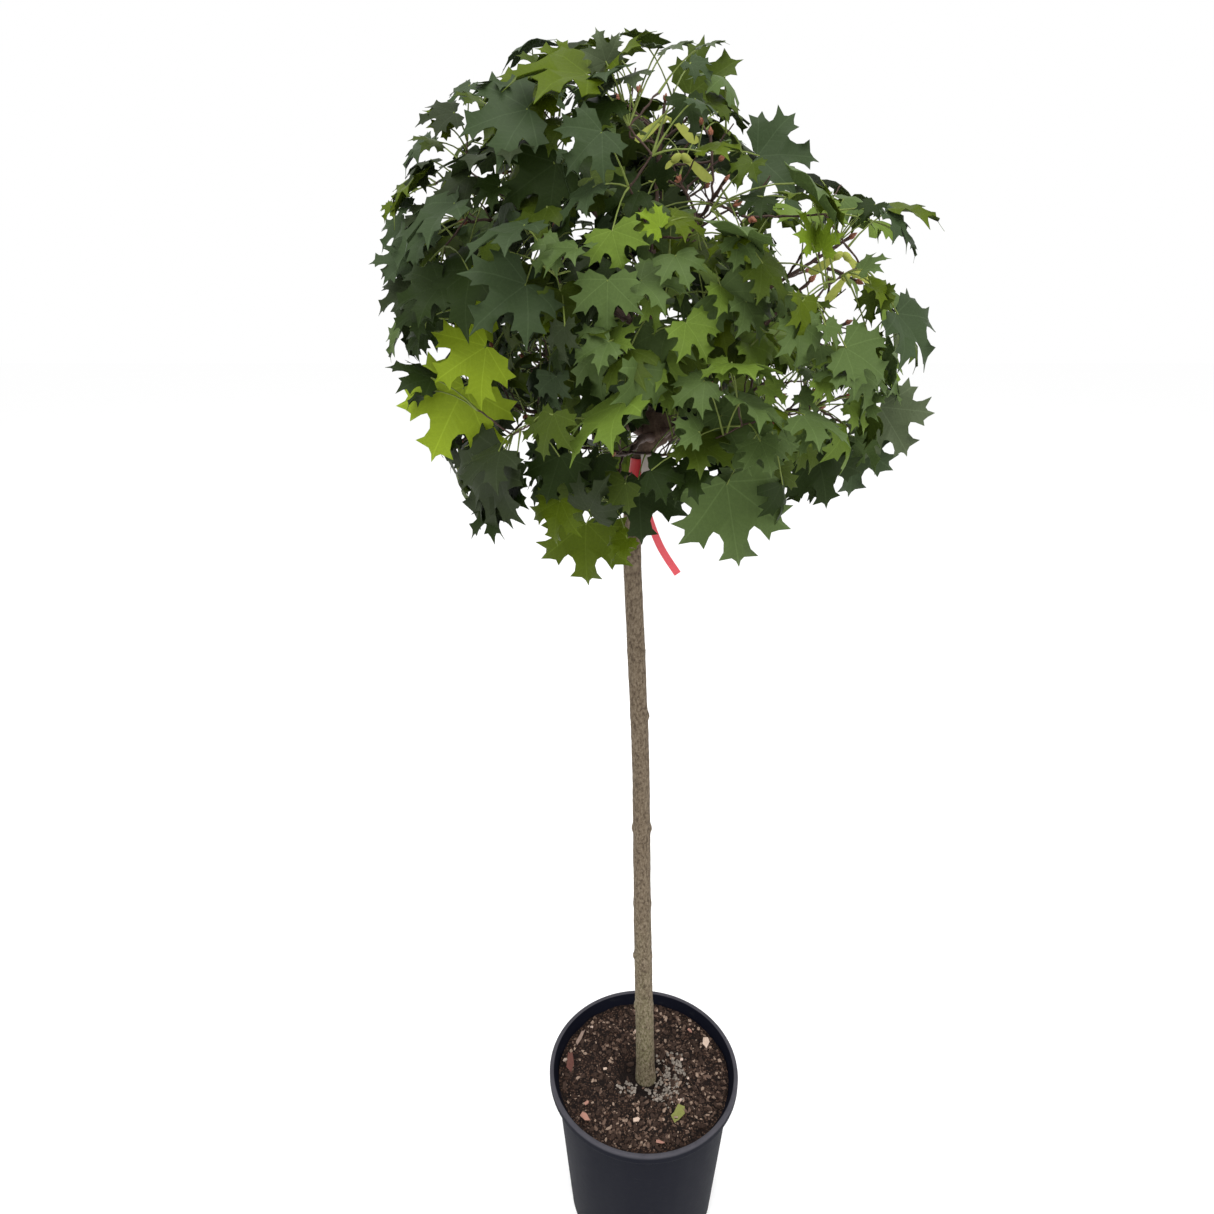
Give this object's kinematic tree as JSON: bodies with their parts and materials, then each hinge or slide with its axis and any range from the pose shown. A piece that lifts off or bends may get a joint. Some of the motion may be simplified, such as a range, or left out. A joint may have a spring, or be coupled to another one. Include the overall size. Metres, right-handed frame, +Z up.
{
  "type": "potted maple tree",
  "caption": "Young maple with a round leafy crown grafted on a tall clear trunk, growing in a round tapered nursery pot filled with soil.",
  "frame": {"origin": "centre of the pot's flat underside", "axes": "+Z up along the pot's axis and the trunk; -Y towards the side that the picture shows; +X to the right as seen from there"},
  "size_m": [0.6732, 0.6436, 1.8344],
  "materials": {
    "pot": "moulded charcoal plastic, faintly scuffed",
    "soil": "loose dark compost with bark chips",
    "bark": "young grey-brown bark with raised pores",
    "shoot": "smooth dark red-brown young wood",
    "foliage": "soft satin leaf, paler beneath",
    "label": "thin plain plastic strip"
  },
  "bodies": {
    "root": {"pot": "pot", "soil": "soil", "trunk": "bark", "leader": "shoot", "label": "label", "bough_front_low": "shoot", "bough_left_low": "shoot", "bough_right_low": "shoot", "bough_back_low": "shoot", "bough_front_right": "shoot", "bough_back_left": "shoot", "bough_back_right": "shoot", "bough_left": "shoot", "bough_front": "shoot", "bough_right": "shoot", "bough_back": "shoot", "bough_upper_left": "shoot", "bough_right_high": "shoot", "bough_upper_back": "shoot", "bough_upper_front": "shoot", "bough_top_left": "shoot", "foliage_front_low": "foliage", "foliage_left_low": "foliage", "foliage_right_low": "foliage", "foliage_back_low": "foliage", "foliage_front_right": "foliage", "foliage_back_left": "foliage", "foliage_back_right": "foliage", "foliage_left": "foliage", "foliage_front": "foliage", "foliage_right": "foliage", "foliage_back": "foliage", "foliage_upper_left": "foliage", "foliage_right_high": "foliage", "foliage_upper_back": "foliage", "foliage_upper_front": "foliage", "foliage_top_left": "foliage", "foliage_top": "foliage"}
  },
  "joints": []
}
